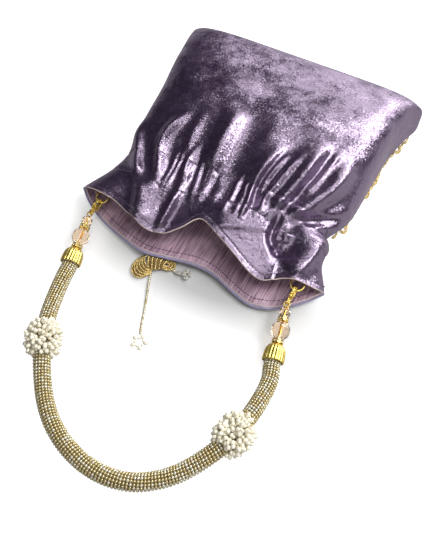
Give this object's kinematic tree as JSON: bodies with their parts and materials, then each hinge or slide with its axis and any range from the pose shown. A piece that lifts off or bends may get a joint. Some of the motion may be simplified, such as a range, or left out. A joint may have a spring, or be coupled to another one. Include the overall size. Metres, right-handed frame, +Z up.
{
  "type": "potli bag",
  "caption": "Gathered velvet pouch with a ruffled open mouth and satin lining, lying on its front, with a beaded rope handle clipped to rings inside the mouth.",
  "frame": {"origin": "a point in the middle of the flat of the front panel that the bag rests on", "axes": "+Z up through the bag's back, -Y towards the open mouth and the handle, +X across the bag to the right"},
  "size_m": [0.2034, 0.3476, 0.0564],
  "materials": {
    "velvet": "crushed purple velvet with lilac sheen",
    "satin": "dusty pink satin",
    "elastic": "woven elastic",
    "gold": "polished gold plating",
    "crystal": "clear peach glass",
    "pearl": "ivory pearl lustre",
    "seed_beads": "glossy antique gold and white seed beads"
  },
  "bodies": {
    "bag": {"back_panel": "velvet", "front_panel": "velvet", "lining": "satin", "gather_elastic": "elastic", "neck_bead_trim": "pearl", "ring_tab_left": "satin", "ring_tab_right": "satin", "handle_ring_left": "gold", "handle_ring_right": "gold", "bow_knot": "seed_beads", "bow_loop_left": "seed_beads", "bow_loop_right": "seed_beads", "bow_cord": "seed_beads", "tail_strand_long": "seed_beads", "tail_strand_short": "seed_beads", "tail_flower_long": "pearl", "tail_flower_short": "pearl"},
    "handle": {"beaded_rope": "seed_beads", "pearl_collar_left": "pearl", "pearl_collar_right": "pearl", "end_cap_left": "gold", "end_cap_right": "gold", "outer_rondelle_left": "gold", "outer_rondelle_right": "gold", "round_bead_left": "crystal", "round_bead_right": "crystal", "inner_rondelle_left": "gold", "inner_rondelle_right": "gold", "faceted_bead_left": "crystal", "faceted_bead_right": "crystal", "eye_pin_left": "gold", "eye_pin_right": "gold", "clasp_body_left": "gold", "clasp_body_right": "gold", "clasp_rivet_left": "gold", "clasp_rivet_right": "gold"},
    "left_lever": {"clasp_lever_left": "gold"},
    "right_lever": {"clasp_lever_right": "gold"}
  },
  "joints": [
    {"name": "handle_swing", "type": "hinge", "parent": "bag", "child": "handle", "pos_m": [0, -0.091, 0.013], "axis": [-1, 0, 0], "range_deg": [0, 90]},
    {"name": "left_clasp_gate", "type": "hinge", "parent": "handle", "child": "left_lever", "pos_m": [-0.07686, -0.09695, 0.0151], "axis": [-1, 0, 0], "range_deg": [0, 30], "stiffness_Nm_per_rad": 0.002},
    {"name": "right_clasp_gate", "type": "hinge", "parent": "handle", "child": "right_lever", "pos_m": [0.07695, -0.09695, 0.0151], "axis": [-1, 0, 0], "range_deg": [0, 30], "stiffness_Nm_per_rad": 0.002}
  ]
}
